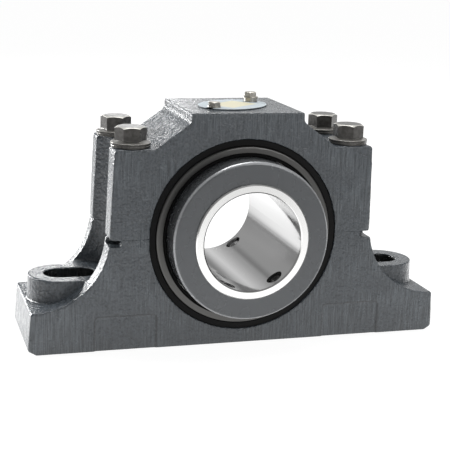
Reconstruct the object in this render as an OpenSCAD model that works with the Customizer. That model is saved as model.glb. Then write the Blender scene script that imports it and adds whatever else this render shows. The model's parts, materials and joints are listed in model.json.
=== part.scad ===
// Split pillow block with a double-row tapered roller bearing.
// Origin: centre of the base's underside. X runs along the base, Y along the shaft, Z up. Millimetres.
// Most sizes are walls, gaps and lengths, stacked outward from the shaft bore.

/* [Shaft and inner ring] */
// Shaft bore of the inner ring
bore_d = 61.91; // [56:0.01:68]
// Wall of the inner ring where it stands out of the housing
ring_wall = 5.2; // [4:0.1:7]
// Chamfer at the inner ring's ends
ring_edge = 0.7; // [0.3:0.1:1.5]

/* [Lock collars] */
// Radial wall of a collar
collar_wall = 13.6; // [11:0.1:14.5]
// Length of a collar
collar_l = 21.9; // [20:0.1:25]
// Room between a cup's outer face and the collar
collar_gap = 2.9; // [2:0.1:4]
// How far the inner ring's end stands out past the collar's face
collar_set_in = 1.9; // [0.5:0.1:3]
// Rounding of the collar's outer edge
collar_edge = 2.2; // [0.5:0.1:3]
// Diameter of the set screws
screw_d = 9.5; // [6:0.1:10.5]
// Length of the set screws
screw_l = 12.7; // [8:0.1:15]
// Width of the hexagon socket in a set screw
screw_socket = 4.8; // [3:0.1:5.5]
// Distance of the set screws from the collar's outer face
screw_in = 7; // [5.8:0.1:9]
// Room round a set screw in its hole through the inner ring
ring_hole_gap = 0.65; // [0.3:0.05:1.5]
// How far a set screw's tip stays back from the shaft bore
screw_back = 1.2; // [0.2:0.1:3]
// Direction of the pair of set screws, from +X towards +Z
screw_angle = -85; // [-180:1:180]
// Angle between the two set screws of a collar
screw_spread = 60; // [40:1:120]

/* [Rollers and races] */
// Rollers in each row
roller_n = 24; // [18:1:25]
// Diameter of a roller at its middle
roller_d = 8.6; // [7:0.1:8.8]
// Length of a roller
roller_l = 17; // [13:0.1:20]
// Tilt of a roller's axis to the shaft
roller_tilt = 12; // [9:0.5:14]
// How far a cup reaches past its rollers at its inner and outer ends
cup_over_in = 2.3; // [1:0.1:4]
cup_over_out = 2.3; // [1:0.1:4]
// Wall of the inner ring under the rollers' middle
cone_wall = 9.6; // [9:0.1:12]
// Wall of a cup over the rollers' middle
cup_wall = 5.4; // [4.5:0.1:8]
// Width of the spacer between the cups
spacer_w = 5; // [4:0.1:7]
// Radial wall of the spacer
spacer_t = 3.4; // [2.8:0.1:4.5]
// Height of the inner ring's middle rib above the race
rib_h = 2.2; // [1:0.1:3]
// Height of the inner ring's outer shoulders above the race
shoulder_h = 1.4; // [0.8:0.1:2]
// How far a cage reaches past its rollers
cage_over = 2; // [1:0.1:2.5]
// Wall of a cage
cage_t = 1.4; // [1:0.1:2]
// Running gap between a roller and its races, and in its cage pocket
run_gap = 0.2; // [0.12:0.01:0.3]

/* [Seals] */
// How much larger in radius a seal case is than the cups
case_step = 1.6; // [1:0.1:3]
// Sheet of the seal case
case_t = 1.6; // [1:0.1:2]
// How far the seal case stands out of the housing
case_out = 0.4; // [0:0.1:1]
// Gap between the seal lip and the turning collar
lip_gap = 0.3; // [0.2:0.05:0.6]
// Radial width of the seal's lip
lip_w = 1.4; // [1:0.1:1.8]
// Groove between the lip and the seal case's face
lip_groove = 0.8; // [0.3:0.1:1.2]
// Radial width of the black rubber ring
rubber_w = 4; // [3:0.1:6]
// How far the rubber ring lies back from the housing face
rubber_back = 0.8; // [0.2:0.1:2]

/* [Housing] */
// Depth of the housing along the shaft
depth = 68.6; // [64:0.1:80]
// Height of the shaft's centre above the underside
centre_h = 69.85; // [68:0.05:80]
// Land between the rubber ring's seat and a cap bolt's hole
bolt_land = 3.5; // [2.5:0.1:6]
// Distance from a cap bolt to the cap's side at the bolt seats
post_edge = 12.2; // [11:0.1:16]
// Draft of the cap's sides
cap_draft = 2.3; // [0:0.1:4]
// Height of the cap bolts' seats above the shaft's centre
seat_h = 55.4; // [50:0.1:60]
// Height of the top pad above the shaft's centre
pad_h = 77; // [74:0.1:84]
// Width of the top pad along the base
pad_w = 72.4; // [70:0.1:78]
// Height of the pad's upright sides
pad_side = 6; // [4:0.1:8]
// Slope of the cap's shoulders
shoulder_slope = 36; // [34:1:42]
// Rounding of the cap's outer corners
cap_round = 2.4; // [1:0.1:5]
// Rounding of the corners at the joint between cap and base
joint_round = 1.8; // [0.5:0.1:3]
// Rounding of the upright corners of the castings
plan_round = 2.4; // [0.5:0.1:4]

/* [Base] */
// Height of the base's ends
foot_h = 26.4; // [22:0.1:30]
// Distance from a cap bolt to the nearest mounting bolt position
slot_off = 26.2; // [26:0.1:32]
// Travel of a mounting bolt in its slot
slot_run = 12.7; // [8:0.1:20]
// Width of the mounting slots
slot_w = 20.6; // [14:0.1:21.5]
// Wall of the raised boss round a mounting slot
boss_wall = 9.9; // [8:0.1:10]
// Height of the boss tops above the underside
boss_h = 41.7; // [38:0.1:46]
// Draft of the bosses
boss_draft = 2.5; // [0:0.1:4]
// Room for a spanner round the boss tops
pocket_room = 4.1; // [2:0.1:4.8]
// How far the spanner rooms lie towards the back
pocket_shift = 2; // [0:0.1:3]
// Land between a boss and the end of the base's top
end_land = 2.7; // [1.5:0.1:20]
// Draft of the base's ends
foot_draft = 4; // [0:0.5:8]
// Height and length of the bevel under the base's ends
toe_h = 2.5; // [1:0.1:5]
toe_l = 10; // [5:0.5:20]
// Wall between a pry notch at the front of the joint and the cap bolt's hole
pry_wall = 1.2; // [1:0.1:4]
// Depth and height of the pry notches
pry_d = 12; // [8:0.1:20]
pry_h = 4; // [3:0.1:6]
// Width, height and depth of the sunk panels low on the base's faces
panel_w = 39; // [20:1:50]
panel_h = 22; // [15:0.5:26]
panel_d = 0.7; // [0.2:0.1:1.5]
// Distance from the middle of the base to a panel's middle
panel_x = 74.5; // [70:0.5:85]

/* [Cap bolts and washers] */
// Diameter of the cap bolts
bolt_d = 12; // [10:0.1:12.7]
// Length of the cap bolts under the head
bolt_l = 75; // [68:0.1:84]
// Distance from the housing's faces to the cap bolts
bolt_in = 12.2; // [11:0.1:14]
// Width of the bolt heads across their flats
head_w = 17; // [15:0.05:19]
// Height of the bolt heads, their flanges included
head_h = 11; // [8:0.1:13]
// Diameter of the flange under a bolt head, and its thickness at the rim and at the hexagon
flange_d = 24.6; // [22:0.1:26]
flange_rim = 1.5; // [1:0.1:2]
flange_t = 2.7; // [2.2:0.1:3.5]
// Diameter of the washers
washer_d = 24.2; // [22:0.1:26]
// Thickness of the washers
washer_t = 1.5; // [1:0.1:3]
// Gap between a bolt and its hole in the cap and the washer
bolt_gap = 0.7; // [0.2:0.05:1.2]
// How each bolt head came to rest: front left, front right, back left, back right
head_turns = [-7.5, 26.5, -16, -14];
// Diameter of the dowel pins in the joint
dowel_d = 6.35; // [4:0.05:8]
// Length of the dowel pins
dowel_l = 20; // [12:0.5:24]

/* [Label plate] */
// Length, width and thickness of the oval plate
plate_l = 52; // [44:0.5:60]
plate_w = 39; // [30:0.5:44]
plate_t = 0.8; // [0.5:0.1:1.5]
// Turn of the plate's long axis from the X direction
plate_turn = 39; // [0:1:90]
// Place of the plate's middle on the pad
plate_x = -1; // [-4:0.5:4]
plate_y = -2.5; // [-4:0.5:4]
// Distance from each fastener's middle to the plate's end
plate_end = 5.5; // [5:0.1:9]
// Plate screw: its thread, its flange and its head across the flats
plate_screw_d = 4; // [3:0.1:6]
screw_flange_d = 8.4; // [7:0.1:10]
screw_hex_w = 7; // [5:0.1:8]
// Grease plug: its thread, its body, its flange and its head across the flats
plug_d = 8; // [6:0.1:8.4]
plug_body_d = 8.5; // [8:0.1:10]
plug_flange_d = 9.9; // [9:0.1:11]
plug_hex_w = 7.2; // [6:0.1:8.5]

/* [Hidden] */

FRONT = -1;
BACK = 1;
LEFT = -1;
RIGHT = 1;
// Clearance of parts that are fitted together by hand
fit = 0.05;
// Overlap of cutting tools past the faces they cut
eps = 1;
round_fn = 128;
hole_fn = 48;
corner_steps = 5;
// Roundings of the castings' outline: foot, toe, shoulder, pad's foot, pad's edge
foot_round = 1.4;
toe_round = 1;
shoulder_round = 2;
pad_fillet = 4;
pad_round = 1.4;
// Small roundings and bevels of turned pieces
case_round = 1.4;
rubber_round = 0.5;
soft_edge = 0.3;
// Flat left between a flank's end and the end of the base's top
flank_land = 1.5;
// How much wider than a washer its spot face is
spot_room = 0.8;
// Room under a cap bolt's end in its threaded hole
tap_room = 3;

// Radii from the shaft outward
bore_r = bore_d / 2;
end_r = bore_r + ring_wall;
collar_r = end_r + collar_wall;
roller_r = roller_d / 2;
pitch_r = bore_r + cone_wall + roller_r + run_gap;
cup_r = pitch_r + roller_r + run_gap + cup_wall;
case_r = cup_r + case_step;
rubber_r = case_r + rubber_w;

// Places along the shaft, measured from the middle
cup_in = spacer_w / 2;
roller_reach = roller_l / 2 * cos(roller_tilt) + roller_r * sin(roller_tilt);
row_y = cup_in + cup_over_in + roller_reach;
cup_out = row_y + roller_reach + cup_over_out;
collar_in = cup_out + collar_gap;
collar_out = collar_in + collar_l;
ring_end = collar_out + collar_set_in;
screw_y = collar_out - screw_in;
rib_y = row_y - roller_reach - run_gap;
race_end_y = row_y + roller_reach + run_gap;
face_y = depth / 2;

// Tapers: roller axes and both races meet in one point on the shaft's axis
apex_y = row_y + pitch_r / tan(roller_tilt);
roller_half_angle = atan(roller_r * sin(roller_tilt) / pitch_r);
cup_angle = roller_tilt + roller_half_angle;
cone_angle = roller_tilt - roller_half_angle;
function cup_race(y) = (apex_y - y) * tan(cup_angle) + run_gap;
function cone_race(y) = (apex_y - y) * tan(cone_angle) - run_gap;
function pitch(y) = (apex_y - y) * tan(roller_tilt);
roller_taper = roller_l / 2 * tan(roller_half_angle);
shoulder_r = cone_race(race_end_y) + shoulder_h;

// Housing
bolt_hole_r = bolt_d / 2 + bolt_gap;
bolt_x = rubber_r + bolt_land + bolt_hole_r;
bolt_y = face_y - bolt_in;
seat_x = bolt_x + post_edge;
joint_x = seat_x + seat_h * tan(cap_draft);
pry_x = bolt_x + bolt_d / 2 + fit + pry_wall;
seat_z = centre_h + seat_h;
pad_z = centre_h + pad_h;
washer_r = washer_d / 2;
flange_r = flange_d / 2;
spot_r = max(washer_r, flange_r) + spot_room;
slot_r = slot_w / 2;
boss_r = slot_r + boss_wall;
pocket_r = boss_r + pocket_room;
slot_in_x = bolt_x + slot_off;
slot_out_x = slot_in_x + slot_run;
foot_top_x = slot_out_x + boss_r + end_land;
foot_bottom_x = foot_top_x + foot_h * tan(foot_draft);
// The flanks sweep down from the joint to the foot in one arc that ends level
flank_end_x = foot_top_x - flank_land;
flank_run = flank_end_x - joint_x;
flank_rise = centre_h - foot_h;
flank_r = (flank_run * flank_run + flank_rise * flank_rise) / (2 * flank_rise);

bolt_end_z = seat_z + washer_t - bolt_l;
dowel_x = (cup_r + slot_in_x - pocket_r) / 2;
plate_hold = plate_l - 2 * plate_end;
grease_out = plate_hold / 2 * [cos(plate_turn), sin(plate_turn)];
plate_mid = [plate_x, plate_y];
screw_at = plate_mid - grease_out;
plug_at = plate_mid + grease_out;
plug_depth = 10;
plug_shank = plug_depth - 2;
plate_hole_room = 0.3;
grease_r = 2;
feed_r = 1.2;
// Locating pin: its round body in the base and its thinner tip in the spacer
pin_r = 2.5;
pin_in = 2.2;
pin_l = 8;
pin_below = 0.3;
pin_hole_r = min(pin_r, spacer_w / 2 - 0.3) - 0.4;

// Colours
iron = [0.33, 0.35, 0.37];
dark_steel = [0.38, 0.37, 0.36];
bright_steel = [0.82, 0.83, 0.84];
race_steel = [0.66, 0.67, 0.68];
collar_steel = [0.35, 0.37, 0.38];
rubber = [0.06, 0.06, 0.06];
cage_steel = [0.6, 0.6, 0.6];

// Helpers
function unit(v) = v / norm(v);

// Points of the arc that rounds corner b between a and c with radius r
function corner_arc(a, b, c, r) =
    let (
        u = unit(a - b),
        v = unit(c - b),
        half = acos(u * v) / 2,
        middle = b + unit(u + v) * r / sin(half),
        first = b + u * r / tan(half) - middle,
        last = b + v * r / tan(half) - middle,
        start = atan2(first.y, first.x),
        turn = (atan2(last.y, last.x) - start + 540) % 360 - 180
    )
    [for (i = [0:corner_steps]) let (t = start + turn * i / corner_steps) middle + r * [cos(t), sin(t)]];

// An outline whose points are [x, y, corner radius]
function rounded(points) =
    let (n = len(points))
    [
        for (i = [0:n - 1])
            let (p = points[i], a = points[(i + n - 1) % n], c = points[(i + 1) % n])
            each p.z > 0
                ? corner_arc([a.x, a.y], [p.x, p.y], [c.x, c.y], p.z)
                : [[p.x, p.y]]
    ];

// An outline in the X-Z plane, extruded from y0 to y1
module along_shaft(y0, y1) {
    translate([0, y1, 0])
        rotate([90, 0, 0])
            linear_extrude(height = y1 - y0)
                children();
}

// A profile [radius, place along the shaft] turned about the shaft's axis
module turned(points) {
    translate([0, 0, centre_h])
        rotate([-90, 0, 0])
            rotate_extrude($fn = round_fn)
                polygon(points);
}

// Shapes drawn at the back (y > 0) and used at either side
module at_side(side) {
    mirror([0, side < 0 ? 1 : 0, 0])
        children();
}

module both_sides() {
    for (side = [FRONT, BACK])
        at_side(side)
            children();
}

module both_ends() {
    for (end = [LEFT, RIGHT])
        mirror([end < 0 ? 1 : 0, 0, 0])
            children();
}

// Something that points radially outward from the shaft's axis, at an angle from +X towards +Z
module radial(angle, y) {
    translate([0, y, centre_h])
        rotate([0, 90 - angle, 0])
            children();
}

module rod_between(a, b, r) {
    d = b - a;
    translate(a)
        rotate([0, acos(d.z / norm(d)), atan2(d.y, d.x)])
            cylinder(h = norm(d), r = r, $fn = hole_fn);
}

module at_bolts() {
    for (x = [-bolt_x, bolt_x], y = [-bolt_y, bolt_y])
        translate([x, y, 0])
            children();
}

// The castings' common bore: seat for the cups, wider seats for the rubber rings
module housing_bore() {
    seat = cup_r + fit;
    wide = rubber_r + fit;
    turned([
        [0, -face_y - eps], [wide, -face_y - eps], [wide, -cup_out - fit], [seat, -cup_out - fit],
        [seat, cup_out + fit], [wide, cup_out + fit], [wide, face_y + eps], [0, face_y + eps],
    ]);
}

// Room round a mounting slot, open at the end of the base
module spanner_room(z0, z1) {
    translate([slot_in_x, pocket_shift, z0])
        cylinder(h = z1 - z0, r = pocket_r, $fn = round_fn);
    translate([slot_in_x, pocket_shift - pocket_r, z0])
        cube([foot_bottom_x, 2 * pocket_r, z1 - z0]);
}

// A block with rounded upright corners that trims a casting in plan
module plan_block(half_x, z0, z1) {
    points = [for (c = [[1, 1], [-1, 1], [-1, -1], [1, -1]]) [c.x * half_x, c.y * face_y, plan_round]];
    translate([0, 0, z0])
        linear_extrude(height = z1 - z0)
            polygon(rounded(points));
}

module mounting_slot(z0, z1) {
    for (x = [slot_in_x, slot_out_x])
        translate([x, 0, z0])
            cylinder(h = z1 - z0, r = slot_r, $fn = round_fn);
    translate([slot_in_x, -slot_r, z0])
        cube([slot_run, slot_w, z1 - z0]);
}

module mounting_boss() {
    spread = (boss_h - foot_h) * tan(boss_draft);
    base_r = boss_r + spread;
    for (x = [slot_in_x, slot_out_x])
        translate([x, 0, foot_h])
            cylinder(h = boss_h - foot_h, r1 = base_r, r2 = boss_r, $fn = round_fn);
    translate([slot_in_x, 0, foot_h])
        rotate([90, 0, 90])
            linear_extrude(height = slot_run)
                polygon([[-base_r, 0], [base_r, 0], [boss_r, boss_h - foot_h], [-boss_r, boss_h - foot_h]]);
}

module base_outline() {
    neck_x = joint_x - 2 * eps;
    neck_z = centre_h - joint_round;
    polygon(rounded([
        [-foot_bottom_x + toe_l, 0, 0], [foot_bottom_x - toe_l, 0, 0], [foot_bottom_x, toe_h, toe_round],
        [foot_top_x, foot_h, foot_round], [joint_x, foot_h, 0], [joint_x, centre_h, joint_round],
        [-joint_x, centre_h, joint_round], [-joint_x, foot_h, 0], [-foot_top_x, foot_h, foot_round],
        [-foot_bottom_x, toe_h, toe_round],
    ]));
    for (end = [LEFT, RIGHT])
        difference() {
            polygon([
                [end * neck_x, foot_h - eps], [end * flank_end_x, foot_h - eps],
                [end * flank_end_x, neck_z], [end * neck_x, neck_z],
            ]);
            translate([end * flank_end_x, foot_h + flank_r])
                circle(r = flank_r, $fn = 2 * round_fn);
        }
}

module base() {
    color(iron)
        difference() {
            union() {
                intersection() {
                    along_shaft(-face_y, face_y)
                        base_outline();
                    plan_block(foot_bottom_x, -eps, centre_h + eps);
                }
                both_ends()
                    mounting_boss();
            }
            housing_bore();
            both_ends() {
                spanner_room(boss_h, centre_h + eps);
                mounting_slot(-eps, boss_h + eps);
                pry_notch();
                both_sides()
                    sunk_panel();
                translate([dowel_x, 0, centre_h - dowel_l / 2 - fit])
                    cylinder(h = dowel_l, r = dowel_d / 2 + fit, $fn = hole_fn);
            }
            at_bolts()
                translate([0, 0, bolt_end_z - tap_room])
                    cylinder(h = centre_h, r = bolt_d / 2 + fit, $fn = hole_fn);
            radial(-90, 0)
                cylinder(h = cup_r + pin_l - pin_in + fit, r = pin_r + fit, $fn = hole_fn);
        }
}

// A slot for a bar at the front corners of the joint
module pry_notch() {
    along_shaft(-face_y - eps, -face_y + pry_d)
        polygon([
            [pry_x, centre_h + eps], [pry_x, centre_h - pry_h],
            [slot_in_x, centre_h - pry_h], [slot_in_x, centre_h + eps],
        ]);
}

module sunk_panel() {
    corner = 3;
    along_shaft(face_y - panel_d, face_y + eps)
        polygon(rounded([
            [panel_x - panel_w / 2, -eps, 0], [panel_x + panel_w / 2, -eps, 0],
            [panel_x + panel_w / 2, panel_h, corner], [panel_x - panel_w / 2, panel_h, corner],
        ]));
}

module cap_outline() {
    pad_x = pad_w / 2;
    slope_z = pad_z - pad_side;
    slope_x = pad_x + (slope_z - seat_z) / tan(shoulder_slope);
    polygon(rounded([
        [-joint_x, centre_h, joint_round], [joint_x, centre_h, joint_round], [seat_x, seat_z, cap_round],
        [slope_x, seat_z, shoulder_round], [pad_x, slope_z, pad_fillet], [pad_x, pad_z, pad_round],
        [-pad_x, pad_z, pad_round], [-pad_x, slope_z, pad_fillet], [-slope_x, seat_z, shoulder_round],
        [-seat_x, seat_z, cap_round],
    ]));
}

module cap() {
    color(iron)
        difference() {
            intersection() {
                along_shaft(-face_y, face_y)
                    cap_outline();
                plan_block(joint_x, centre_h - eps, pad_z + eps);
            }
            housing_bore();
            both_ends() {
                spanner_room(centre_h - eps, pad_z);
                translate([dowel_x, 0, centre_h - eps])
                    cylinder(h = dowel_l / 2 + fit + eps, r = dowel_d / 2 + fit, $fn = hole_fn);
            }
            at_bolts() {
                translate([0, 0, centre_h - eps])
                    cylinder(h = seat_h + 2 * eps, r = bolt_hole_r, $fn = hole_fn);
                translate([0, 0, seat_z])
                    cylinder(h = pad_h, r = spot_r, $fn = round_fn);
            }
            translate([screw_at.x, screw_at.y, pad_z - plug_depth])
                cylinder(h = plug_depth + eps, r = plate_screw_d / 2 + fit, $fn = hole_fn);
            translate([plug_at.x, plug_at.y, pad_z - plug_depth])
                cylinder(h = plug_depth + eps, r = plug_d / 2 + fit, $fn = hole_fn);
            rod_between(
                [0, 0, centre_h + cup_r - eps],
                [plug_at.x, plug_at.y, pad_z - plug_depth + eps],
                grease_r
            );
        }
}

// Hexagon head with a chamfered top, standing on z = 0
module hex_head(width, height) {
    chamfer_slope = 30;
    top_share = 0.93;
    corner_r = width / sqrt(3);
    outer_r = corner_r + eps;
    top_r = width / 2 * top_share;
    intersection() {
        cylinder(h = height, r = corner_r, $fn = 6);
        rotate_extrude($fn = round_fn)
            polygon([
                [0, 0], [outer_r, 0], [outer_r, height - (outer_r - top_r) * tan(chamfer_slope)],
                [top_r, height], [0, height],
            ]);
    }
}

// The round flange under a cap bolt's hexagon, sloping up to it
module head_flange() {
    rotate_extrude($fn = round_fn)
        polygon(rounded([
            [0, 0, 0], [flange_r, 0, soft_edge], [flange_r, flange_rim, soft_edge],
            [head_w / 2, flange_t, 0], [0, flange_t, 0],
        ]));
}

module cap_bolt(x, y, turn) {
    point = 1.2;
    color(dark_steel)
        translate([x * bolt_x, y * bolt_y, 0]) {
            translate([0, 0, seat_z + washer_t]) {
                head_flange();
                rotate(turn)
                    hex_head(head_w, head_h);
            }
            translate([0, 0, bolt_end_z + point])
                cylinder(h = bolt_l - point, r = bolt_d / 2, $fn = hole_fn);
            translate([0, 0, bolt_end_z])
                cylinder(h = point, r1 = bolt_d / 2 - point, r2 = bolt_d / 2, $fn = hole_fn);
        }
}

module washer(x, y) {
    rounding = washer_t / 4;
    inner = bolt_hole_r;
    color(dark_steel)
        translate([x * bolt_x, y * bolt_y, seat_z])
            rotate_extrude($fn = round_fn)
                polygon(rounded([
                    [inner, 0, 0], [washer_r, 0, rounding], [washer_r, washer_t, rounding],
                    [inner, washer_t, 0],
                ]));
}

module dowel(end) {
    bevel = 0.6;
    color(bright_steel)
        translate([end * dowel_x, 0, centre_h - dowel_l / 2])
            rotate_extrude($fn = hole_fn)
                polygon([
                    [0, 0], [dowel_d / 2 - bevel, 0], [dowel_d / 2, bevel], [dowel_d / 2, dowel_l - bevel],
                    [dowel_d / 2 - bevel, dowel_l], [0, dowel_l],
                ]);
}

// Half of the inner ring's section, from its middle rib to its end
function ring_half() = [
    [cone_race(rib_y) + rib_h, 0], [cone_race(rib_y) + rib_h, rib_y], [cone_race(rib_y), rib_y],
    [cone_race(race_end_y), race_end_y], [shoulder_r, race_end_y], [shoulder_r, collar_in],
    [end_r, collar_in], [end_r, ring_end - ring_edge], [end_r - ring_edge, ring_end],
    [bore_r + ring_edge, ring_end], [bore_r, ring_end - ring_edge],
];

module inner_ring() {
    half = ring_half();
    n = len(half);
    other_half = [for (i = [n - 1:-1:1]) [half[i].x, -half[i].y]];
    color(bright_steel)
        difference() {
            turned(concat(half, other_half));
            both_sides()
                for (s = [-0.5, 0.5])
                    radial(screw_angle + s * screw_spread, screw_y)
                        cylinder(h = collar_r, r = screw_d / 2 + ring_hole_gap, $fn = hole_fn);
        }
}

module cup(side) {
    bevel = 1;
    color(race_steel)
        at_side(side)
            turned([
                [cup_race(cup_in), cup_in], [cup_r - bevel, cup_in], [cup_r, cup_in + bevel],
                [cup_r, cup_out - bevel], [cup_r - bevel, cup_out], [cup_race(cup_out), cup_out],
            ]);
}

// Ring between the cups: an oil groove round it, three feed holes and a hole for the locating pin
module cup_spacer() {
    groove = 1;
    color(race_steel)
        difference() {
            turned([
                [cup_r - spacer_t, -cup_in + fit], [cup_r, -cup_in + fit], [cup_r, -cup_in / 2],
                [cup_r - groove, -cup_in / 2], [cup_r - groove, cup_in / 2], [cup_r, cup_in / 2],
                [cup_r, cup_in - fit], [cup_r - spacer_t, cup_in - fit],
            ]);
            for (angle = [90, 210, 330])
                radial(angle, 0)
                    cylinder(h = cup_r + eps, r = feed_r, $fn = hole_fn);
            radial(-90, 0)
                cylinder(h = cup_r + eps, r = pin_hole_r, $fn = hole_fn);
        }
}

module roller_row(side, grow) {
    color(bright_steel)
        at_side(side)
            translate([0, 0, centre_h])
                rotate([-90, 0, 0])
                    for (i = [0:roller_n - 1])
                        rotate(360 * i / roller_n)
                            translate([pitch_r, 0, row_y])
                                rotate([0, -roller_tilt, 0])
                                    cylinder(
                                        h = roller_l + 2 * grow,
                                        r1 = roller_r + roller_taper + grow,
                                        r2 = roller_r - roller_taper + grow,
                                        center = true,
                                        $fn = hole_fn
                                    );
}

// A pressed cage: a thin cone round the rollers' pitch, with a pocket for each roller
module cage(side) {
    near = rib_y - cage_over;
    far = race_end_y + cage_over;
    t = cage_t / 2 / cos(roller_tilt);
    color(cage_steel)
        difference() {
            at_side(side)
                turned([
                    [pitch(near) - t, near], [pitch(near) + t, near],
                    [pitch(far) + t, far], [pitch(far) - t, far],
                ]);
            roller_row(side, run_gap);
        }
}

// Steel case: an outer wall in the rubber ring and a face that closes the housing
module seal_case(side) {
    back = cup_out + fit;
    front = face_y + case_out;
    mouth_r = collar_r + lip_gap + lip_w + lip_groove;
    color(collar_steel)
        at_side(side)
            turned(rounded([
                [case_r - case_t, back, 0], [case_r, back, 0], [case_r, front, case_round],
                [mouth_r, front, soft_edge], [mouth_r, front - case_t, 0],
                [case_r - case_t, front - case_t, 0],
            ]));
}

// Rubber seal inside the case, with a lip that nearly touches the turning collar
module seal_lip(side) {
    back = collar_in + 0.5;
    tip = face_y + case_out - 0.6;
    inside = face_y + case_out - case_t - fit;
    wall = case_r - case_t - fit;
    lip_r = collar_r + lip_gap;
    color(rubber)
        at_side(side)
            turned(rounded([
                [lip_r, back, 0], [wall, back, 0], [wall, inside, 0], [lip_r + lip_w, inside, 0],
                [lip_r + lip_w, tip, soft_edge], [lip_r, tip - soft_edge, soft_edge],
            ]));
}

module rubber_ring(side) {
    color(rubber)
        at_side(side)
            turned(rounded([
                [case_r + fit, cup_out + 2 * fit, 0], [rubber_r, cup_out + 2 * fit, 0],
                [rubber_r, face_y - rubber_back, rubber_round],
                [case_r + fit, face_y - rubber_back, rubber_round],
            ]));
}

module collar(side) {
    color(collar_steel)
        difference() {
            at_side(side)
                turned(rounded([
                    [end_r + fit, collar_in, 0], [collar_r, collar_in, soft_edge],
                    [collar_r, collar_out, collar_edge], [end_r + fit, collar_out, soft_edge],
                ]));
            for (s = [-0.5, 0.5])
                radial(screw_angle + s * screw_spread, side * screw_y)
                    cylinder(h = collar_r + eps, r = screw_d / 2 + fit, $fn = hole_fn);
        }
}

// Cup-point set screw with a hexagon socket in its outer end
module set_screw(side, s) {
    r = screw_d / 2;
    taper = 1.4;
    rim = 0.4;
    cup = 0.8;
    bevel = 0.6;
    color(dark_steel)
        radial(screw_angle + s * screw_spread, side * screw_y)
            translate([0, 0, bore_r + screw_back])
                difference() {
                    rotate_extrude($fn = hole_fn)
                        polygon([
                            [0, cup], [r - taper - rim, 0], [r - taper, 0], [r, taper],
                            [r, screw_l - bevel], [r - bevel, screw_l], [0, screw_l],
                        ]);
                    translate([0, 0, screw_l / 2])
                        cylinder(h = screw_l, r = screw_socket / sqrt(3), $fn = 6);
                }
}

// Oval plate, held by two fasteners on its long axis; the front left one sits in an open slot
module label_plate() {
    steps = 72;
    slot_w = plate_screw_d + 2 * plate_hole_room;
    oval = [
        for (i = [0:steps - 1])
            let (t = 360 * i / steps) [plate_l / 2 * cos(t), plate_w / 2 * sin(t)]
    ];
    color([0.72, 0.78, 0.84])
        translate([plate_x, plate_y, pad_z])
            rotate(plate_turn)
                difference() {
                    linear_extrude(height = plate_t)
                        polygon(oval);
                    translate([plate_hold / 2, 0, -eps])
                        cylinder(h = plate_t + 2 * eps, r = plug_d / 2 + plate_hole_room, $fn = hole_fn);
                    translate([-plate_hold / 2, 0, -eps])
                        cylinder(h = plate_t + 2 * eps, r = slot_w / 2, $fn = hole_fn);
                    translate([-plate_l, -slot_w / 2, -eps])
                        cube([plate_l - plate_hold / 2, slot_w, plate_t + 2 * eps]);
                }
}

// A fastener through the plate: shank in the cap, and its head's lower part on the plate
module plate_fastener(place, shank_d) {
    color(bright_steel)
        translate([place.x, place.y, pad_z + plate_t]) {
            translate([0, 0, -plate_t - plug_shank])
                cylinder(h = plate_t + plug_shank + flange_rim / 2, r = shank_d / 2, $fn = hole_fn);
            children();
        }
}

module plate_screw() {
    flange_h = 0.9;
    hex_h = 2.6;
    turn = 20;
    plate_fastener(screw_at, plate_screw_d) {
        cylinder(h = flange_h, r = screw_flange_d / 2, $fn = hole_fn);
        rotate(turn)
            hex_head(screw_hex_w, flange_h + hex_h);
    }
}

// Grease plug: a round body, a flange and a small hexagon on top
module grease_plug() {
    body_h = 2.2;
    flange_h = 1;
    hex_h = 3;
    turn = 8;
    plate_fastener(plug_at, plug_d) {
        cylinder(h = body_h + flange_h / 2, r = plug_body_d / 2, $fn = hole_fn);
        translate([0, 0, body_h])
            cylinder(h = flange_h, r = plug_flange_d / 2, $fn = hole_fn);
        translate([0, 0, body_h])
            rotate(turn)
                hex_head(plug_hex_w, flange_h + hex_h);
    }
}

module locating_pin() {
    color(bright_steel)
        radial(-90, 0) {
            translate([0, 0, cup_r + pin_below])
                cylinder(h = pin_l - pin_in - pin_below, r = pin_r, $fn = hole_fn);
            translate([0, 0, cup_r - pin_in])
                cylinder(h = pin_in + 2 * pin_below, r = pin_hole_r - fit, $fn = hole_fn);
        }
}

base();
cap();
cap_bolt(LEFT, FRONT, head_turns[0]);  // cap_bolt_front_left
cap_bolt(RIGHT, FRONT, head_turns[1]);  // cap_bolt_front_right
cap_bolt(LEFT, BACK, head_turns[2]);  // cap_bolt_back_left
cap_bolt(RIGHT, BACK, head_turns[3]);  // cap_bolt_back_right
washer(LEFT, FRONT);  // washer_front_left
washer(RIGHT, FRONT);  // washer_front_right
washer(LEFT, BACK);  // washer_back_left
washer(RIGHT, BACK);  // washer_back_right
dowel(LEFT);  // dowel_left
dowel(RIGHT);  // dowel_right
inner_ring();
cup(FRONT);  // cup_front
cup(BACK);  // cup_back
cup_spacer();
roller_row(FRONT, 0);  // rollers_front
roller_row(BACK, 0);  // rollers_back
cage(FRONT);  // cage_front
cage(BACK);  // cage_back
seal_case(FRONT);  // seal_case_front
seal_case(BACK);  // seal_case_back
seal_lip(FRONT);  // seal_lip_front
seal_lip(BACK);  // seal_lip_back
rubber_ring(FRONT);  // rubber_ring_front
rubber_ring(BACK);  // rubber_ring_back
collar(FRONT);  // collar_front
collar(BACK);  // collar_back
set_screw(FRONT, -0.5);  // set_screw_front_1
set_screw(FRONT, 0.5);  // set_screw_front_2
set_screw(BACK, -0.5);  // set_screw_back_1
set_screw(BACK, 0.5);  // set_screw_back_2
label_plate();
plate_screw();
grease_plug();
locating_pin();
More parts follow.
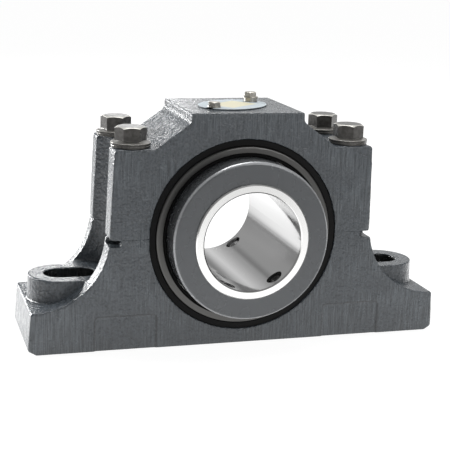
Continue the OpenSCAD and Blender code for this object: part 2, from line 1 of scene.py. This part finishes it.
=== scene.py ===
# %% [markdown]
# A split pillow block, dressed for its portrait.
#
# The real object is two painted grey iron castings bolted round a tapered roller bearing. The bolts are dark
# steel, the bearing's inner ring is bright and ground, and a black rubber ring seals the gap between the two.
# The CAD model already has every piece in its place, so this script gives the pieces their surfaces: the
# orange-peel skin of a sand casting, softened corners, worn edges, turned and ground metal.
#
# All lengths are in metres. X runs to the right, Y to the back along the shaft, and Z up.

# %% Load the CAD pieces
import json
import math

import bpy
from mathutils import Matrix, Vector

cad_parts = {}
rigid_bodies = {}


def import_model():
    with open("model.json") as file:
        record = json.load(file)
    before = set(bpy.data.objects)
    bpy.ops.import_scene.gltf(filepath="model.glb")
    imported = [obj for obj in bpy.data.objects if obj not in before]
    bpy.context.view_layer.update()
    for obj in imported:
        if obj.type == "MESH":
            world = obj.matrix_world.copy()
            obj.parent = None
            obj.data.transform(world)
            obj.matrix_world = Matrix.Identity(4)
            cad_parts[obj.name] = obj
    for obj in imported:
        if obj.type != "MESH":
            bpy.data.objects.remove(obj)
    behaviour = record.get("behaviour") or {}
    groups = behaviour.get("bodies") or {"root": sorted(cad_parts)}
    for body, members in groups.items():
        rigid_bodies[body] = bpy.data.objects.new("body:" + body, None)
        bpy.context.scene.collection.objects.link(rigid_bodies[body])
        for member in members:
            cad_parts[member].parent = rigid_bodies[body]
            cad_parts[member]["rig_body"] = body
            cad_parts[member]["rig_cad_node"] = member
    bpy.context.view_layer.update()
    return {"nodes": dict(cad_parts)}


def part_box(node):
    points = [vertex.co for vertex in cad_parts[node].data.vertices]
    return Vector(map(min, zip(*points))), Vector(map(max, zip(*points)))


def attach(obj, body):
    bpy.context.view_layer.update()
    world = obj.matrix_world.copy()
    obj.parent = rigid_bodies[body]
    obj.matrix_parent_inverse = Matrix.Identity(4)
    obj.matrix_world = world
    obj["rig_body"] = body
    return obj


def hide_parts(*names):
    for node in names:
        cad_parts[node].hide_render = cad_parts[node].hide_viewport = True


MM = 0.001
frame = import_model()
nodes = frame["nodes"]
shaft_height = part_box("base")[1].z

# %% [markdown]
# The camera stands to the left of the block and a little above it, and is rolled about two degrees, because
# the picture leans slightly. A long lens gives the flat, calm perspective of a catalogue picture. Building the
# turn from three plain rotations is easier to read than one set of Euler angles.

# %% Set the camera
turn_right = math.radians(17.43)
look_down = math.radians(13.77)
roll = math.radians(2.13)
aim = (
    Matrix.Rotation(-turn_right, 3, "Z")
    @ Matrix.Rotation(math.pi / 2 - look_down, 3, "X")
    @ Matrix.Rotation(roll, 3, "Z")
)
bpy.ops.object.camera_add(location=(-0.21998, -0.69355, 0.24657), rotation=aim.to_euler())
camera = bpy.context.object
camera.name = "portrait_camera"
camera.data.sensor_width = 36
camera.data.lens = 92.125
bpy.context.scene.camera = camera
print("camera at", [round(v, 3) for v in camera.location])

# %% [markdown]
# Materials are small node trees. A few helpers keep each tree short: one starts a material with the values
# that are the same all over its surface, one adds a node and fills or links its inputs, and one feeds a
# pattern to the shader.

# %% Define the material helpers
def start_material(name, color, metallic, roughness, **sockets):
    material = bpy.data.materials.new(name)
    material.use_nodes = True
    shader = material.node_tree.nodes["Principled BSDF"]
    shader.inputs["Base Color"].default_value = (*color, 1)
    shader.inputs["Metallic"].default_value = metallic
    shader.inputs["Roughness"].default_value = roughness
    for socket, value in sockets.items():
        shader.inputs[socket.replace("_", " ")].default_value = value
    return material


def fill(material, socket, value):
    if isinstance(value, bpy.types.NodeSocket):
        material.node_tree.links.new(value, socket)
    else:
        socket.default_value = value


def add_node(material, kind, inputs=None, **settings):
    node = material.node_tree.nodes.new(kind)
    for setting, value in settings.items():
        setattr(node, setting, value)
    for socket, value in (inputs or {}).items():
        fill(material, node.inputs[socket], value)
    return node


def feed(material, socket, value):
    shader = material.node_tree.nodes["Principled BSDF"]
    material.node_tree.links.new(value, shader.inputs[socket])


print("material helpers ready")

# %% [markdown]
# Patterns are made by arithmetic on noise and on places. A map range is the most useful node of all: it turns
# any value into a mask with soft edges, or into a roughness or a strength between two limits.

# %% Define the arithmetic helpers
def between(material, value, low, high, new_low=0.0, new_high=1.0):
    spread = add_node(
        material,
        "ShaderNodeMapRange",
        {"Value": value, "From Min": low, "From Max": high, "To Min": new_low, "To Max": new_high},
    )
    return spread.outputs["Result"]


def calculate(material, operation, first, second=0):
    return add_node(material, "ShaderNodeMath", {0: first, 1: second}, operation=operation).outputs[0]


def times(material, first, second):
    return calculate(material, "MULTIPLY", first, second)


def unsigned(material, value):
    return calculate(material, "ABSOLUTE", value)


def length_of(material, first, second):
    pair = add_node(material, "ShaderNodeCombineXYZ", {"X": first, "Y": second}).outputs["Vector"]
    return add_node(material, "ShaderNodeVectorMath", {0: pair}, operation="LENGTH").outputs["Value"]


def blend_values(material, factor, first, second):
    return add_node(material, "ShaderNodeMix", {"Factor": factor, 2: first, 3: second}).outputs[0]


def blend_colors(material, factor, first, second):
    mix = add_node(material, "ShaderNodeMix", {"Factor": factor}, data_type="RGBA")
    for socket, value in ((mix.inputs[6], first), (mix.inputs[7], second)):
        fill(material, socket, (*value, 1) if isinstance(value, tuple) else value)
    return mix.outputs[2]


print("arithmetic helpers ready")

# %% [markdown]
# Every pattern reads Object coordinates, which are real metres here, so its grain has a real size. The normal
# tells which way a face looks, and a bump node turns a pattern's height into relief.

# %% Define the pattern helpers
def grain(material, size, stretch=(1, 1, 1), detail=3.0):
    place = add_node(material, "ShaderNodeTexCoord").outputs["Object"]
    place = add_node(material, "ShaderNodeMapping", {"Vector": place, "Scale": stretch}).outputs["Vector"]
    noise = add_node(material, "ShaderNodeTexNoise", {"Vector": place, "Scale": 1 / size, "Detail": detail})
    return noise.outputs["Fac"]


def split_place(material, centre=(0, 0, 0), turn=0.0):
    place = add_node(material, "ShaderNodeTexCoord").outputs["Object"]
    mapping = add_node(
        material,
        "ShaderNodeMapping",
        {"Vector": place, "Location": centre, "Rotation": (0, 0, turn)},
        vector_type="TEXTURE",
    )
    return add_node(material, "ShaderNodeSeparateXYZ", {"Vector": mapping.outputs["Vector"]}).outputs


def facing(material, axis):
    normal = add_node(material, "ShaderNodeTexCoord").outputs["Normal"]
    return add_node(material, "ShaderNodeSeparateXYZ", {"Vector": normal}).outputs[axis]


def emboss(material, height, depth, under=None):
    bump = add_node(material, "ShaderNodeBump", {"Height": height, "Distance": depth})
    if under is not None:
        material.node_tree.links.new(under, bump.inputs["Normal"])
    return bump.outputs["Normal"]


print("pattern helpers ready")

# %% [markdown]
# The paint. Sand castings are dipped or sprayed without much smoothing, so the paint follows every grain of
# the mould. Its own colour hardly changes: what the eye sees is relief, with painted shade in the hollows. A
# fine noise gives the sand grains, and on the faces that were ground upright a second noise, stretched along Z,
# gives long shallow streaks. The normal tells the two kinds of face apart. The streaks come and go in patches,
# as a grinding belt leaves them.

# %% Start the housing paint
paint = start_material("housing_paint", (0.085, 0.094, 0.103), 0.0, 0.3, Specular_IOR_Level=0.7)
sand = grain(paint, 1.5 * MM)
lumps = grain(paint, 5 * MM)
streaks = grain(paint, 0.9 * MM, stretch=(1, 1, 0.05), detail=2.0)
patches = between(paint, grain(paint, 28 * MM, detail=1.0), 0.4, 0.55, 0.25, 1.0)
ground_face = between(paint, unsigned(paint, facing(paint, "Y")), 0.9, 0.99)
combed = times(paint, ground_face, patches)
print("sand, lumps and streaks ready")

# %% [markdown]
# The walls of the two mounting slots are painted nearly black, as painted shade for these deep recesses. They
# are found by their place: the mask is a box in each slot that ends just below the boss's top, with soft sides.

# %% Find the walls of the mounting slots
x, y, z = split_place(paint)
sideways = unsigned(paint, x)
depthways = unsigned(paint, y)
slot_in, slot_out = 86.4 * MM, 120.2 * MM
slot_half = 10.6 * MM
slot_top = 41.2 * MM
slot_shade = between(paint, sideways, slot_in, slot_in + 0.3 * MM)
slot_shade = times(paint, slot_shade, between(paint, sideways, slot_out, slot_out - 0.3 * MM))
slot_shade = times(paint, slot_shade, between(paint, depthways, slot_half, slot_half - 0.4 * MM))
slot_shade = times(paint, slot_shade, between(paint, z, slot_top, slot_top - 0.4 * MM))
print("slots from", round(slot_in / MM, 1), "to", round(slot_out / MM, 1), "mm")

# %% [markdown]
# Low on the front and back faces are two shallow panels, and a thin painted shade darkens the crease round
# each.
# The distance to a rectangle with round corners is a well-known trick: shrink the rectangle by its corners'
# radius, take the distance to what is left, and take the radius off again.

# %% Find the creases round the panels
panel_middle, panel_half = 74.5 * MM, 19.5 * MM
panel_top, panel_corner = 22 * MM, 3 * MM
past_side = unsigned(paint, calculate(paint, "SUBTRACT", sideways, panel_middle))
past_side = calculate(paint, "SUBTRACT", past_side, panel_half - panel_corner)
past_top = calculate(paint, "SUBTRACT", z, panel_top - panel_corner)
past_side = calculate(paint, "MAXIMUM", past_side, 0)
past_top = calculate(paint, "MAXIMUM", past_top, 0)
off_edge = calculate(paint, "SUBTRACT", length_of(paint, past_side, past_top), panel_corner)
crease_shade = between(paint, unsigned(paint, off_edge), 0.6 * MM, 0.35 * MM, 0, 0.7)
outermost = between(paint, depthways, 32.6 * MM, 33.2 * MM)
crease_shade = times(paint, crease_shade, outermost)
print("panels are", round(2 * panel_half / MM), "by", round(panel_top / MM), "mm")

# %% [markdown]
# Now the parts of the paint come together. The hollows of each pattern are painted darker than its crests,
# as painted shade, and the relief is stacked from coarse to fine, each bump on top of the one before.

# %% Colour and emboss the paint
# The darker hollows of the sand and of the streaks are painted shade.
cast_color_with_hollow_shade = blend_colors(
    paint, between(paint, sand, 0.35, 0.55), (0.035, 0.041, 0.047), (0.074, 0.086, 0.098)
)
ground_color_with_hollow_shade = blend_colors(
    paint, between(paint, streaks, 0.38, 0.6), (0.046, 0.054, 0.062), (0.104, 0.12, 0.134)
)
paint_color = blend_colors(paint, combed, cast_color_with_hollow_shade, ground_color_with_hollow_shade)
# The crease round each panel gets painted shade.
paint_color = blend_colors(paint, crease_shade, paint_color, (0.015, 0.017, 0.02))
# The slot walls get painted shade, nearly black.
paint_color = blend_colors(paint, slot_shade, paint_color, (0.012, 0.013, 0.014))
feed(paint, "Base Color", paint_color)
feed(paint, "Roughness", between(paint, lumps, 0.35, 0.65, 0.17, 0.28))
lump_height = times(paint, lumps, between(paint, ground_face, 0, 1, 1.0, 0.7))
sand_height = times(paint, sand, between(paint, ground_face, 0, 1, 1.0, 0.55))
streak_height = times(paint, streaks, combed)
skin = emboss(paint, lump_height, 0.57 * MM)
skin = emboss(paint, sand_height, 0.65 * MM, under=skin)
skin = emboss(paint, streak_height, 0.5 * MM, under=skin)
feed(paint, "Normal", skin)
print("paint has", len(paint.node_tree.nodes), "nodes")

# %% [markdown]
# The bearing's metals. Each finish differs in how rough it is and in which direction its marks run. Turned
# pieces carry fine rings round the shaft: a noise read from the distance to the shaft and the place along it,
# and not from the angle, gives rings on end faces and on rounds alike.

# %% Define the turning marks
def to_shaft(material):
    x, y, z = split_place(material, centre=(0, 0, shaft_height))
    return length_of(material, x, z), y


def turned_marks(material, size):
    radius, along = to_shaft(material)
    ring = add_node(material, "ShaderNodeCombineXYZ", {"X": radius, "Y": along}).outputs["Vector"]
    noise = add_node(material, "ShaderNodeTexNoise", {"Vector": ring, "Scale": 1 / size, "Detail": 3.0})
    return noise.outputs["Fac"]


print("turning marks ready")

# %% [markdown]
# The inner ring's ends are bright. Its bore is ground too, and its metal there is painted darker, as painted
# shade for the dark inside of the bore, and is smoother. The bore ends where its edge begins.

# %% Make the ground steel of the inner ring
bore_radius, edge_radius = 31.0 * MM, 31.3 * MM
ground_steel = start_material("ground_steel", (0.8, 0.8, 0.79), 1.0, 0.24)
marks = turned_marks(ground_steel, 0.35 * MM)
radius, _ = to_shaft(ground_steel)
outside = between(ground_steel, radius, bore_radius, edge_radius)
bore_roughness = between(ground_steel, marks, 0.3, 0.7, 0.09, 0.12)
# The bore's darker colour is painted shade.
ring_color_with_bore_shade = blend_colors(ground_steel, outside, (0.35, 0.35, 0.35), (0.95, 0.95, 0.94))
feed(ground_steel, "Base Color", ring_color_with_bore_shade)
feed(ground_steel, "Roughness", blend_values(ground_steel, outside, bore_roughness, 0.2))
feed(ground_steel, "Normal", emboss(ground_steel, marks, 0.006 * MM))
print("ground steel ready")

# %% [markdown]
# The collars are blued: a thin dark oxide over turned steel. The round of the rim is painted lighter as a
# painted highlight; it is the only part whose normal leans between the shaft's direction and square to it. The
# races, rollers and seal cases are plain turned or pressed steel.

# %% Make the blued, seal and race steel
blued_color = (0.1, 0.106, 0.112)
blued_steel = start_material("blued_steel", blued_color, 0.3, 0.38, Specular_IOR_Level=0.7)
lean = unsigned(blued_steel, facing(blued_steel, "Y"))
rim_highlight = times(blued_steel, between(blued_steel, lean, 0.1, 0.4), between(blued_steel, lean, 0.98, 0.85))
clouds = grain(blued_steel, 12 * MM)
# The lighter rim is a painted highlight.
feed(blued_steel, "Base Color", blend_colors(blued_steel, rim_highlight, blued_color, (0.42, 0.43, 0.44)))
feed(blued_steel, "Roughness", between(blued_steel, clouds, 0.3, 0.7, 0.25, 0.29))
feed(blued_steel, "Normal", emboss(blued_steel, turned_marks(blued_steel, 0.5 * MM), 0.008 * MM))

seal_steel = start_material("seal_steel", (0.1, 0.099, 0.096), 0.9, 0.28)
feed(seal_steel, "Normal", emboss(seal_steel, turned_marks(seal_steel, 0.4 * MM), 0.006 * MM))

race_steel = start_material("race_steel", (0.6, 0.6, 0.6), 1.0, 0.16)
feed(race_steel, "Normal", emboss(race_steel, turned_marks(race_steel, 0.3 * MM), 0.003 * MM))
print("blued, seal and race steel ready")

# %% [markdown]
# The bolts are heat treated, which leaves a blotchy brown-black oxide. Their slanted upper edges are painted
# light as a painted highlight, and the flat tops stay duller than the sides.

# %% Make the steel of the fasteners
bolt_steel = start_material("bolt_steel", (0.14, 0.136, 0.13), 0.4, 0.5)
blotches = grain(bolt_steel, 2.5 * MM, detail=5.0)
tooth = grain(bolt_steel, 0.5 * MM)
oxide = blend_colors(
    bolt_steel, between(bolt_steel, blotches, 0.4, 0.62), (0.09, 0.086, 0.081), (0.05, 0.047, 0.043)
)
upward = facing(bolt_steel, "Z")
# Upward-slanting faces are painted lighter: a painted highlight.
chamfer_highlight = times(bolt_steel, between(bolt_steel, upward, 0.3, 0.6), between(bolt_steel, upward, 0.97, 0.9))
feed(bolt_steel, "Base Color", blend_colors(bolt_steel, chamfer_highlight, oxide, (0.45, 0.44, 0.41)))
feed(bolt_steel, "Roughness", between(bolt_steel, upward, 0.5, 0.9, 0.25, 0.38))
feed(bolt_steel, "Normal", emboss(bolt_steel, calculate(bolt_steel, "ADD", tooth, blotches), 0.03 * MM))

black_steel = start_material("black_steel", (0.02, 0.02, 0.021), 0.2, 0.5)
feed(black_steel, "Normal", emboss(black_steel, grain(black_steel, 0.5 * MM), 0.05 * MM))

plated_steel = start_material("plated_steel", (0.42, 0.4, 0.36), 1.0, 0.32)
feed(plated_steel, "Normal", emboss(plated_steel, grain(plated_steel, 0.6 * MM), 0.04 * MM))
print("fastener steel ready")

# %% [markdown]
# The oval plate is satin sheet metal with a pale yellow field printed in its middle. The field is a rectangle
# in the plate's own directions, so the pattern is centred on the plate and turned with it. The cut edge is
# painted dark, as painted shade. The rubber is close to black, and takes its little light from a dull skin.

# %% Make the sheet metal and the rubber
plate_turn = math.radians(39)
plate_centre = sum(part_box("label_plate"), Vector()) / 2
sheet_metal = start_material("plate_metal", (0.5, 0.57, 0.61), 0.0, 0.55, Specular_IOR_Level=0.3)
u, v, _ = split_place(sheet_metal, centre=plate_centre, turn=plate_turn)
field = times(
    sheet_metal,
    between(sheet_metal, unsigned(sheet_metal, u), 13 * MM, 14 * MM, 1.0, 0.0),
    between(sheet_metal, unsigned(sheet_metal, v), 9 * MM, 10 * MM, 1.0, 0.0),
)
printed = blend_colors(sheet_metal, field, (0.42, 0.47, 0.5), (0.57, 0.54, 0.4))
top_not_shaded = between(sheet_metal, facing(sheet_metal, "Z"), 0.5, 0.9)
# The plate's sides get painted shade.
feed(sheet_metal, "Base Color", blend_colors(sheet_metal, top_not_shaded, (0.08, 0.09, 0.1), printed))
feed(sheet_metal, "Normal", emboss(sheet_metal, grain(sheet_metal, 2 * MM), 0.05 * MM))

rubber = start_material("black_rubber", (0.005, 0.005, 0.005), 0.0, 0.6, Specular_IOR_Level=0.15)
feed(rubber, "Normal", emboss(rubber, grain(rubber, 0.8 * MM), 0.03 * MM))
print("sheet metal and rubber ready")

# %% [markdown]
# The castings. CAD corners are perfectly sharp, and a sand casting's are not: the mould crumbles a little at
# each corner and the paint fills each hollow. Bevelling every edge of a shape like this one by hand would be
# slow, so a copy of each casting is turned into an even skin of small squares (a voxel remesh), smoothed until
# its corners are about as round as the real ones, and then pushed in and out a little by a cloudy texture.

# %% Define the casting helpers
def deselect():
    bpy.ops.object.select_all(action="DESELECT")


def merged_copy(name, node):
    deselect()
    copy = nodes[node].copy()
    copy.data = nodes[node].data.copy()
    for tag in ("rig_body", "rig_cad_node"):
        del copy[tag]
    copy.parent = None
    copy.name = copy.data.name = name
    bpy.context.scene.collection.objects.link(copy)
    bpy.context.view_layer.objects.active = copy
    copy.select_set(True)
    bpy.ops.object.mode_set(mode="EDIT")
    bpy.ops.mesh.select_all(action="SELECT")
    bpy.ops.mesh.remove_doubles(threshold=0.002 * MM)
    bpy.ops.object.mode_set(mode="OBJECT")
    return copy


def finish_modifiers(piece):
    bpy.context.view_layer.objects.active = piece
    for modifier in list(piece.modifiers):
        bpy.ops.object.modifier_apply(modifier=modifier.name)


def wear(piece, material):
    piece.data.materials.clear()
    piece.data.materials.append(material)


grain_texture = bpy.data.textures.new("casting_grain", "CLOUDS")
grain_texture.noise_scale = 2 * MM
grain_texture.noise_depth = 2
print("casting helpers ready")

# %% [markdown]
# A foundry casts a little too much metal wherever a face must be true, and the machinist takes it off again.
# The same order works here. The copy first grows three millimetres past its flat faces, then it gets its soft
# cast skin, and at the end a bisect cuts it back, which leaves those faces flat and their edges crisp. The
# inset after the cut breaks the new edge by a hair.

# %% Define the machining helpers
def select_where(test):
    bpy.ops.object.mode_set(mode="EDIT")
    bpy.ops.mesh.select_mode(type="VERT")
    bpy.ops.mesh.select_all(action="DESELECT")
    bpy.ops.object.mode_set(mode="OBJECT")
    for vertex in bpy.context.object.data.vertices:
        vertex.select = test(vertex.co)
    bpy.ops.object.mode_set(mode="EDIT")


def grow(level, step):
    select_where(lambda place: abs(place.z - level) < 0.01 * MM)
    bpy.ops.transform.translate(value=(0, 0, step))
    bpy.ops.object.mode_set(mode="OBJECT")


def machine(level, side, edge=0.15 * MM):
    cut = level - side * edge
    bpy.ops.object.mode_set(mode="EDIT")
    bpy.ops.mesh.select_all(action="SELECT")
    bpy.ops.mesh.bisect(plane_co=(0, 0, cut), plane_no=(0, 0, side), use_fill=True, clear_outer=True)
    bpy.ops.mesh.select_mode(type="FACE")
    bpy.ops.object.mode_set(mode="OBJECT")
    for face in bpy.context.object.data.polygons:
        face.select = face.normal.z * side > 0.999 and abs(face.center.z - cut) < 0.001 * MM
    bpy.ops.object.mode_set(mode="EDIT")
    bpy.ops.mesh.inset(thickness=edge, depth=edge)
    bpy.ops.object.mode_set(mode="OBJECT")


print("machining helpers ready")

# %% [markdown]
# Each machined face is given by its height and by the side that it looks to, 1 for up and -1 for down. The
# base has two, its joint and its underside, and the cap has one. Thinning the mesh comes last, because flat
# areas need far fewer faces than the remesh gives them.

# %% Cast and machine the two halves
extra_metal = 3 * MM


def cast(name, node, machined, most_faces):
    piece = merged_copy(name, node)
    for level, side in machined:
        grow(level, side * extra_metal)
    skin = piece.modifiers.new("skin", "REMESH")
    skin.mode = "VOXEL"
    skin.voxel_size = 0.6 * MM
    soften = piece.modifiers.new("soften", "SMOOTH")
    soften.factor = 0.5
    soften.iterations = 4
    grainy = piece.modifiers.new("grainy", "DISPLACE")
    grainy.texture = grain_texture
    grainy.strength = 0.15 * MM
    finish_modifiers(piece)
    for level, side in machined:
        machine(level, side)
    thin = piece.modifiers.new("thin", "DECIMATE")
    thin.ratio = min(1, most_faces / (2 * len(piece.data.polygons)))
    finish_modifiers(piece)
    bpy.ops.object.shade_smooth_by_angle(angle=math.radians(50))
    wear(piece, paint)
    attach(piece, "housing")
    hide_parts(node)
    print(name, len(piece.data.polygons), "faces")


cast("cast_base", "base", [(shaft_height, 1), (0, -1)], 150000)
cast("cast_cap", "cap", [(shaft_height, -1)], 120000)

# %% [markdown]
# The fasteners. A real bolt head has no knife edges: forging and a few spanners leave them rounded, and that
# narrow round is what catches the light. Each copy loses its doubled points, its flat faces are joined again,
# and a bevel rounds every edge sharper than twenty-five degrees, or only the edges that a test picks. Weighted
# normals then keep the large flats truly flat in their shading, so that they mirror like flats.

# %% Define how edges are rounded
def worn(name, node, width, material, body="housing", where=None):
    piece = merged_copy(name, node)
    bpy.ops.object.mode_set(mode="EDIT")
    bpy.ops.mesh.select_all(action="SELECT")
    bpy.ops.mesh.dissolve_limited(angle_limit=math.radians(1))
    bpy.ops.object.mode_set(mode="OBJECT")
    rounding = piece.modifiers.new("rounding", "BEVEL")
    rounding.width = width
    rounding.segments = 2
    rounding.limit_method = "ANGLE"
    rounding.angle_limit = math.radians(25)
    if where:
        select_where(where)
        bpy.ops.object.vertex_group_add()
        bpy.ops.object.vertex_group_assign()
        bpy.ops.object.mode_set(mode="OBJECT")
        rounding.limit_method = "VGROUP"
        rounding.vertex_group = piece.vertex_groups[0].name
        rounding.segments = 4
    rounding.use_clamp_overlap = True
    finish_modifiers(piece)
    bpy.ops.object.shade_smooth_by_angle(angle=math.radians(35))
    flats = piece.modifiers.new("flats", "WEIGHTED_NORMAL")
    flats.keep_sharp = True
    finish_modifiers(piece)
    wear(piece, material)
    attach(piece, body)
    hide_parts(node)


print("rounding ready")

# %% [markdown]
# The four bolts are the largest of the small pieces, so they get the widest rounding. A washer or a plate cut
# from sheet is only a little blunt at its edge, and a wide bevel would make it look cast.

# %% Round the fasteners and the plate
for row in ("front", "back"):
    for end in ("left", "right"):
        worn(f"bolt_{row}_{end}", f"cap_bolt_{row}_{end}", 0.45 * MM, bolt_steel)
        worn(f"flat_washer_{row}_{end}", f"washer_{row}_{end}", 0.15 * MM, bolt_steel)
worn("oval_plate", "label_plate", 0.12 * MM, sheet_metal)
worn("small_screw", "plate_screw", 0.2 * MM, plated_steel)
worn("plug", "grease_plug", 0.2 * MM, plated_steel)
print("fasteners and plate rounded")

# %% [markdown]
# A lock collar is turned with a generous round on its rim, and nowhere else. The points that lie within a
# millimetre of its outer radius are the rim's, so only they are rounded. The seal cases are pressed from
# sheet, which rounds each of their edges a little.

# %% Round the collars and the seal cases
collar_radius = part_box("collar_front")[1].x


def on_rim(place):
    return math.hypot(place.x, place.z - shaft_height) > collar_radius - 1 * MM


for side in ("front", "back"):
    worn(
        f"lock_collar_{side}", f"collar_{side}", 1.8 * MM, blued_steel, "shaft_sleeve", on_rim
    )
    worn(f"rolled_case_{side}", f"seal_case_{side}", 0.35 * MM, seal_steel)
print("collars of radius", round(collar_radius / MM, 1), "mm and seal cases rounded")

# %% [markdown]
# Pieces whose CAD shape is already right keep it, and only get their finish. A node takes the finish of the
# longest name in the list that its own name starts with.

# %% Give the CAD pieces their finishes
def finish_node(node, material):
    if not node.material_slots:
        node.data.materials.append(material)
    for slot in node.material_slots:
        slot.material = material


finishes = {
    "inner_ring": ground_steel,
    "seal_lip": rubber,
    "rubber_ring": rubber,
    "set_screw": black_steel,
    "cup": race_steel,
    "cup_spacer": bolt_steel,
    "rollers": race_steel,
    "cage": bolt_steel,
    "dowel": race_steel,
    "locating_pin": race_steel,
}
for name, node in nodes.items():
    kinds = [kind for kind in finishes if name.startswith(kind)]
    if kinds:
        finish_node(node, finishes[max(kinds, key=len)])
print(len(finishes), "kinds of piece finished")

# %% [markdown]
# The floor. The camera sees it plain white, with the block's soft shadow on it. Steel shows what it mirrors,
# so a photographer lays light and dark cards just outside the picture. Here the floor's glow does that, and
# only for glossy rays. It is brightest behind the block at the left, where the left ends and the upper side of
# the bore mirror it, and fades further back and further out. In front it fades towards the camera.

# %% Lay the floor
def path_is(material, *kinds):
    path = add_node(material, "ShaderNodeLightPath")
    total = path.outputs[kinds[0]]
    for kind in kinds[1:]:
        total = calculate(material, "MAXIMUM", total, path.outputs[kind])
    return total


deselect()
bpy.ops.mesh.primitive_plane_add(size=14, location=(0, 0, 0))
floor = bpy.context.object
floor.name = "floor"
floor_white = start_material("floor_white", (0.86, 0.86, 0.86), 0.0, 0.9)
x, y, _ = split_place(floor_white)
fading_back = between(floor_white, y, 0.75, 0.28, 0.22, 1.0)
fading_out = between(floor_white, x, -0.35, -0.25, 0.6, 2.4)
fading_in = between(floor_white, x, -0.14, -0.1, 2.4, 2.1)
back_glow = times(floor_white, calculate(floor_white, "MINIMUM", fading_out, fading_in), fading_back)
back_glow = calculate(floor_white, "MAXIMUM", back_glow, 0.6)
front_glow = between(floor_white, y, -0.5, -0.12, 0.7, 1.4)
floor_mirrored = blend_values(floor_white, between(floor_white, y, -0.06, 0.04), front_glow, back_glow)
print("floor laid,", round(floor.dimensions.x), "m wide")

# %% [markdown]
# The glow replaces four fifths of what the camera and the glossy rays see of the floor. The last fifth is
# ordinary white paint, which is where the shadow shows.

# %% Make the floor glow
floor_seen, glow_share = 1.17, 0.8
glossy = path_is(floor_white, "Is Glossy Ray")
floor_level = blend_values(floor_white, glossy, floor_seen, floor_mirrored)
glow = add_node(floor_white, "ShaderNodeEmission", {"Strength": floor_level})
seen = times(floor_white, path_is(floor_white, "Is Camera Ray", "Is Glossy Ray"), glow_share)
tree = floor_white.node_tree
mix = add_node(
    floor_white,
    "ShaderNodeMixShader",
    {"Fac": seen, 1: tree.nodes["Principled BSDF"].outputs[0], 2: glow.outputs[0]},
)
tree.links.new(mix.outputs[0], tree.nodes["Material Output"].inputs["Surface"])
wear(floor, floor_white)
print("floor has", len(tree.nodes), "nodes")

# %% [markdown]
# The surround. The camera sees it pure white. It lights the block only weakly, a little more from the back
# than from the front. In reflections it is a white backdrop with a darker left part, which keeps the cap's
# left slope dark, a bright patch low at the right that the cap's pad mirrors, and an even grey at the far
# left that shows in the middle of the bore. The block's front mirrors only a dim room.

# %% Light the surround
world = bpy.data.worlds.new("white_room")
bpy.context.scene.world = world
world.use_nodes = True
towards = add_node(world, "ShaderNodeTexCoord").outputs["Generated"]
towards_x, towards_y, towards_z = add_node(world, "ShaderNodeSeparateXYZ", {"Vector": towards}).outputs
lit = times(world, between(world, towards_y, -0.7, 0.5, 0.22, 0.45), 0.75)

backdrop = between(world, towards_x, -0.09, -0.03, 0.25, 0.72)
backdrop = calculate(world, "ADD", backdrop, between(world, towards_x, 0, 0.25, 0, 0.53))
backdrop = times(world, backdrop, between(world, towards_x, 0.25, 0.36, 1.0, 0.6))
backdrop = times(world, backdrop, between(world, towards_z, 0.1, 0.24, 0.45, 1.0))
patch = between(world, towards_z, 0.22, 0.15)
patch = times(world, patch, between(world, towards_x, 0.16, 0.2))
patch = times(world, patch, between(world, towards_x, 0.3, 0.27))
backdrop = calculate(world, "ADD", backdrop, times(world, patch, 1.5))
backdrop = calculate(world, "ADD", backdrop, between(world, towards_x, -0.04, -0.18, 0, 0.42))
print("backdrop ready")

# %% [markdown]
# Last, the light path picks what each ray gets: white for the camera, the backdrop for glossy and transmission
# rays, and the weak light for all others.

# %% Connect the surround
mirrored = blend_values(world, between(world, towards_y, 0.3, 0.7), 0.22, backdrop)
by_ray = blend_values(world, path_is(world, "Is Glossy Ray", "Is Transmission Ray"), lit, mirrored)
strength = calculate(world, "MAXIMUM", path_is(world, "Is Camera Ray"), by_ray)
room = world.node_tree.nodes["Background"]
room.inputs["Color"].default_value = (1, 1, 1, 1)
world.node_tree.links.new(strength, room.inputs["Strength"])
print("surround has", len(world.node_tree.nodes), "nodes")

# %% [markdown]
# The lamps. A strong one far out at the left gives the block's left ends their sparkle. A broad one overhead
# lights all that faces up. A small one stands low behind the block, as a lit backdrop does, and glances off the
# pad, and two weak ones at the back right and the front right keep the shaded sides readable. A lamp is given
# by its radiance, so its size can change without changing how bright its reflection is.

# %% Hang the lamps
block_middle = Vector((0, 0, 0.07))


def hang_lamp(name, place, size, radiance):
    towards = block_middle - Vector(place)
    turn = towards.to_track_quat("-Z", "Y").to_euler()
    bpy.ops.object.light_add(type="AREA", location=place, rotation=turn)
    lamp = bpy.context.object
    lamp.name = name
    lamp.data.shape = "RECTANGLE"
    lamp.data.size, lamp.data.size_y = size
    lamp.data.energy = radiance * math.pi * size[0] * size[1]
    lamp.visible_camera = False
    print(name, round(lamp.data.energy, 2), "W")


hang_lamp("back_lamp", (0.7, 0.9, 0.8), (0.6, 0.4), 2)
hang_lamp("backdrop_lamp", (0.14, 1.3, 0.22), (0.28, 0.15), 8)
hang_lamp("left_lamp", (-0.82, 0.95, 0.36), (0.4, 0.4), 44)
hang_lamp("top_lamp", (0.08, 0.2, 1.1), (0.7, 0.3), 13)
hang_lamp("front_lamp", (0.5, -1.0, 0.5), (0.6, 0.5), 3.6)

# %% [markdown]
# To finish, the colours are shown as they are written.

# %% Finish
bpy.context.scene.view_settings.view_transform = "Standard"
